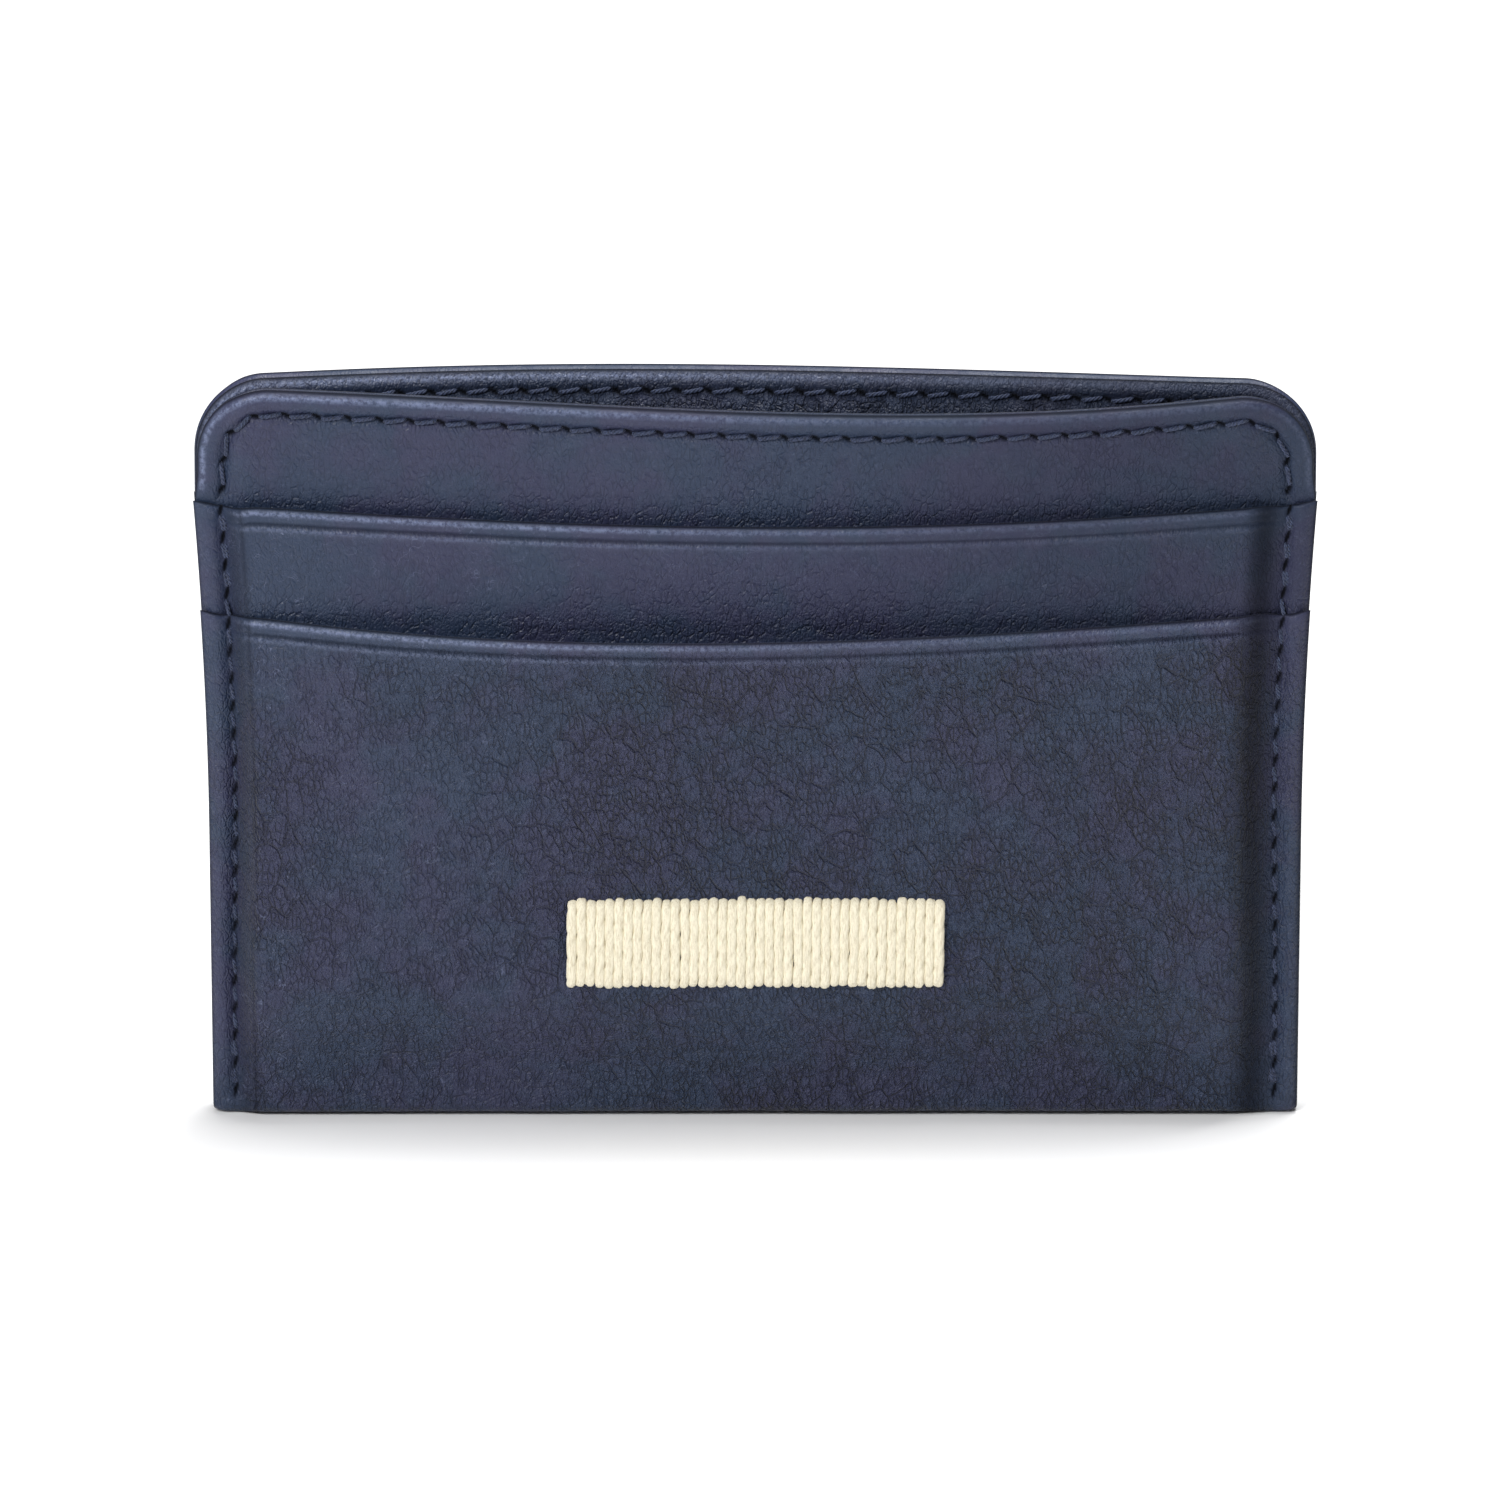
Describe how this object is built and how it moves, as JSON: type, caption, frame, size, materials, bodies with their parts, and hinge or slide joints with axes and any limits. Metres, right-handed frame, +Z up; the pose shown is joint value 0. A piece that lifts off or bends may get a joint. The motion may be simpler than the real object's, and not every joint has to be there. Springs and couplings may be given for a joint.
{
  "type": "card holder",
  "caption": "Slim stitched leather card holder with overlapping card slots front and back, an open middle pocket and a plain embroidered band.",
  "frame": {"origin": "middle of the underside of the base fold, midway between the side edges and on the middle plane between the two walls", "axes": "+Z up towards the mouth, +X to the right seen from the front, and the front faces -Y"},
  "size_m": [0.1022, 0.013, 0.0706],
  "materials": {
    "navy_leather": "fine pebbled grain, semi-matt",
    "lining_leather": "fine pebbled grain, semi-matt",
    "leather_board": "bonded fibre, matt",
    "pocket_textile": "plain weave",
    "lip_tape": "close plain weave",
    "embroidery_backing": "non-woven, matt",
    "navy_thread": "twisted, waxed",
    "cream_thread": "twisted, soft sheen"
  },
  "bodies": {
    "root": {"outer_leather": "navy_leather", "front_panel": "navy_leather", "rear_panel": "navy_leather", "front_upper_pocket": "navy_leather", "rear_upper_pocket": "navy_leather", "front_panel_lining": "lining_leather", "rear_panel_lining": "lining_leather", "front_wall_board": "leather_board", "rear_wall_board": "leather_board", "front_upper_pocket_lining": "pocket_textile", "rear_upper_pocket_lining": "pocket_textile", "front_lower_pocket_lining": "pocket_textile", "rear_lower_pocket_lining": "pocket_textile", "front_upper_lip_tape": "lip_tape", "rear_upper_lip_tape": "lip_tape", "front_lower_lip_tape": "lip_tape", "rear_lower_lip_tape": "lip_tape", "embroidery_backing": "embroidery_backing", "embroidered_band": "cream_thread", "front_mouth_seam_thread": "navy_thread", "rear_mouth_seam_thread": "navy_thread", "left_side_seam_thread": "navy_thread", "right_side_seam_thread": "navy_thread", "front_pocket_foot_thread": "navy_thread", "rear_pocket_foot_thread": "navy_thread"}
  },
  "joints": []
}
